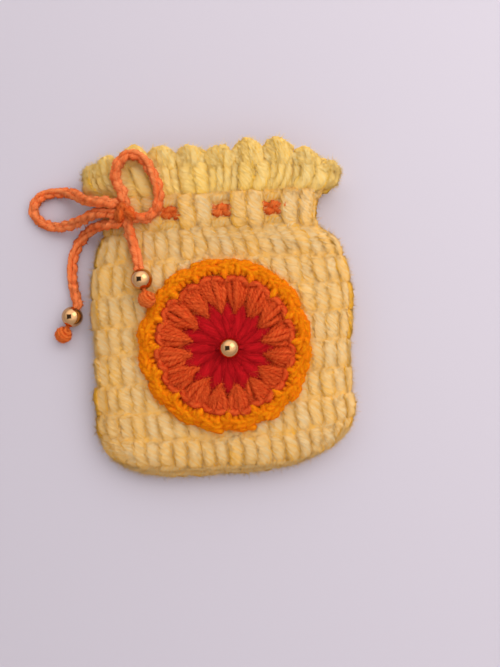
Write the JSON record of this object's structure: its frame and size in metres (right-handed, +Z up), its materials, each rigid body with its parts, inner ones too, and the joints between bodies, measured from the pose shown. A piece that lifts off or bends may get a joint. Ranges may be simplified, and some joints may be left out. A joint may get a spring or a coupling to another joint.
{
  "type": "crochet drawstring pouch",
  "caption": "Small flat crocheted drawstring pouch with a frilled mouth, a round flower rosette on its front, and a cord tied in a bow that ends in beads and yarn balls.",
  "frame": {"origin": "on the surface that the pouch lies on, under the middle of its outline without the loose cord", "axes": "+X to the right of the front, +Y from the bottom edge to the mouth, +Z up, out of the front"},
  "size_m": [0.1338, 0.14, 0.0256],
  "materials": {
    "yarn_yellow": "matt pale yellow cotton yarn",
    "yarn_orange": "matt orange cotton yarn",
    "yarn_petal_orange": "matt dark orange cotton yarn",
    "yarn_amber": "matt amber cotton yarn",
    "yarn_red": "matt red cotton yarn",
    "bead_gold": "polished gold-coloured plating"
  },
  "bodies": {
    "root": {"pouch_body": "yarn_yellow", "eyelet_band": "yarn_yellow", "frill": "yarn_yellow", "rosette_centre": "yarn_red", "rosette_petals": "yarn_petal_orange", "rosette_border": "yarn_amber", "rosette_bead": "bead_gold", "rosette_bead_thread": "yarn_red", "neck_cord": "yarn_orange", "bow_knot": "yarn_orange", "bow_loop_side": "yarn_orange", "bow_loop_top": "yarn_orange", "tail_side": "yarn_orange", "tail_front": "yarn_orange", "bead_side": "bead_gold", "bead_front": "bead_gold", "end_ball_side": "yarn_orange", "end_ball_front": "yarn_orange"}
  },
  "joints": []
}
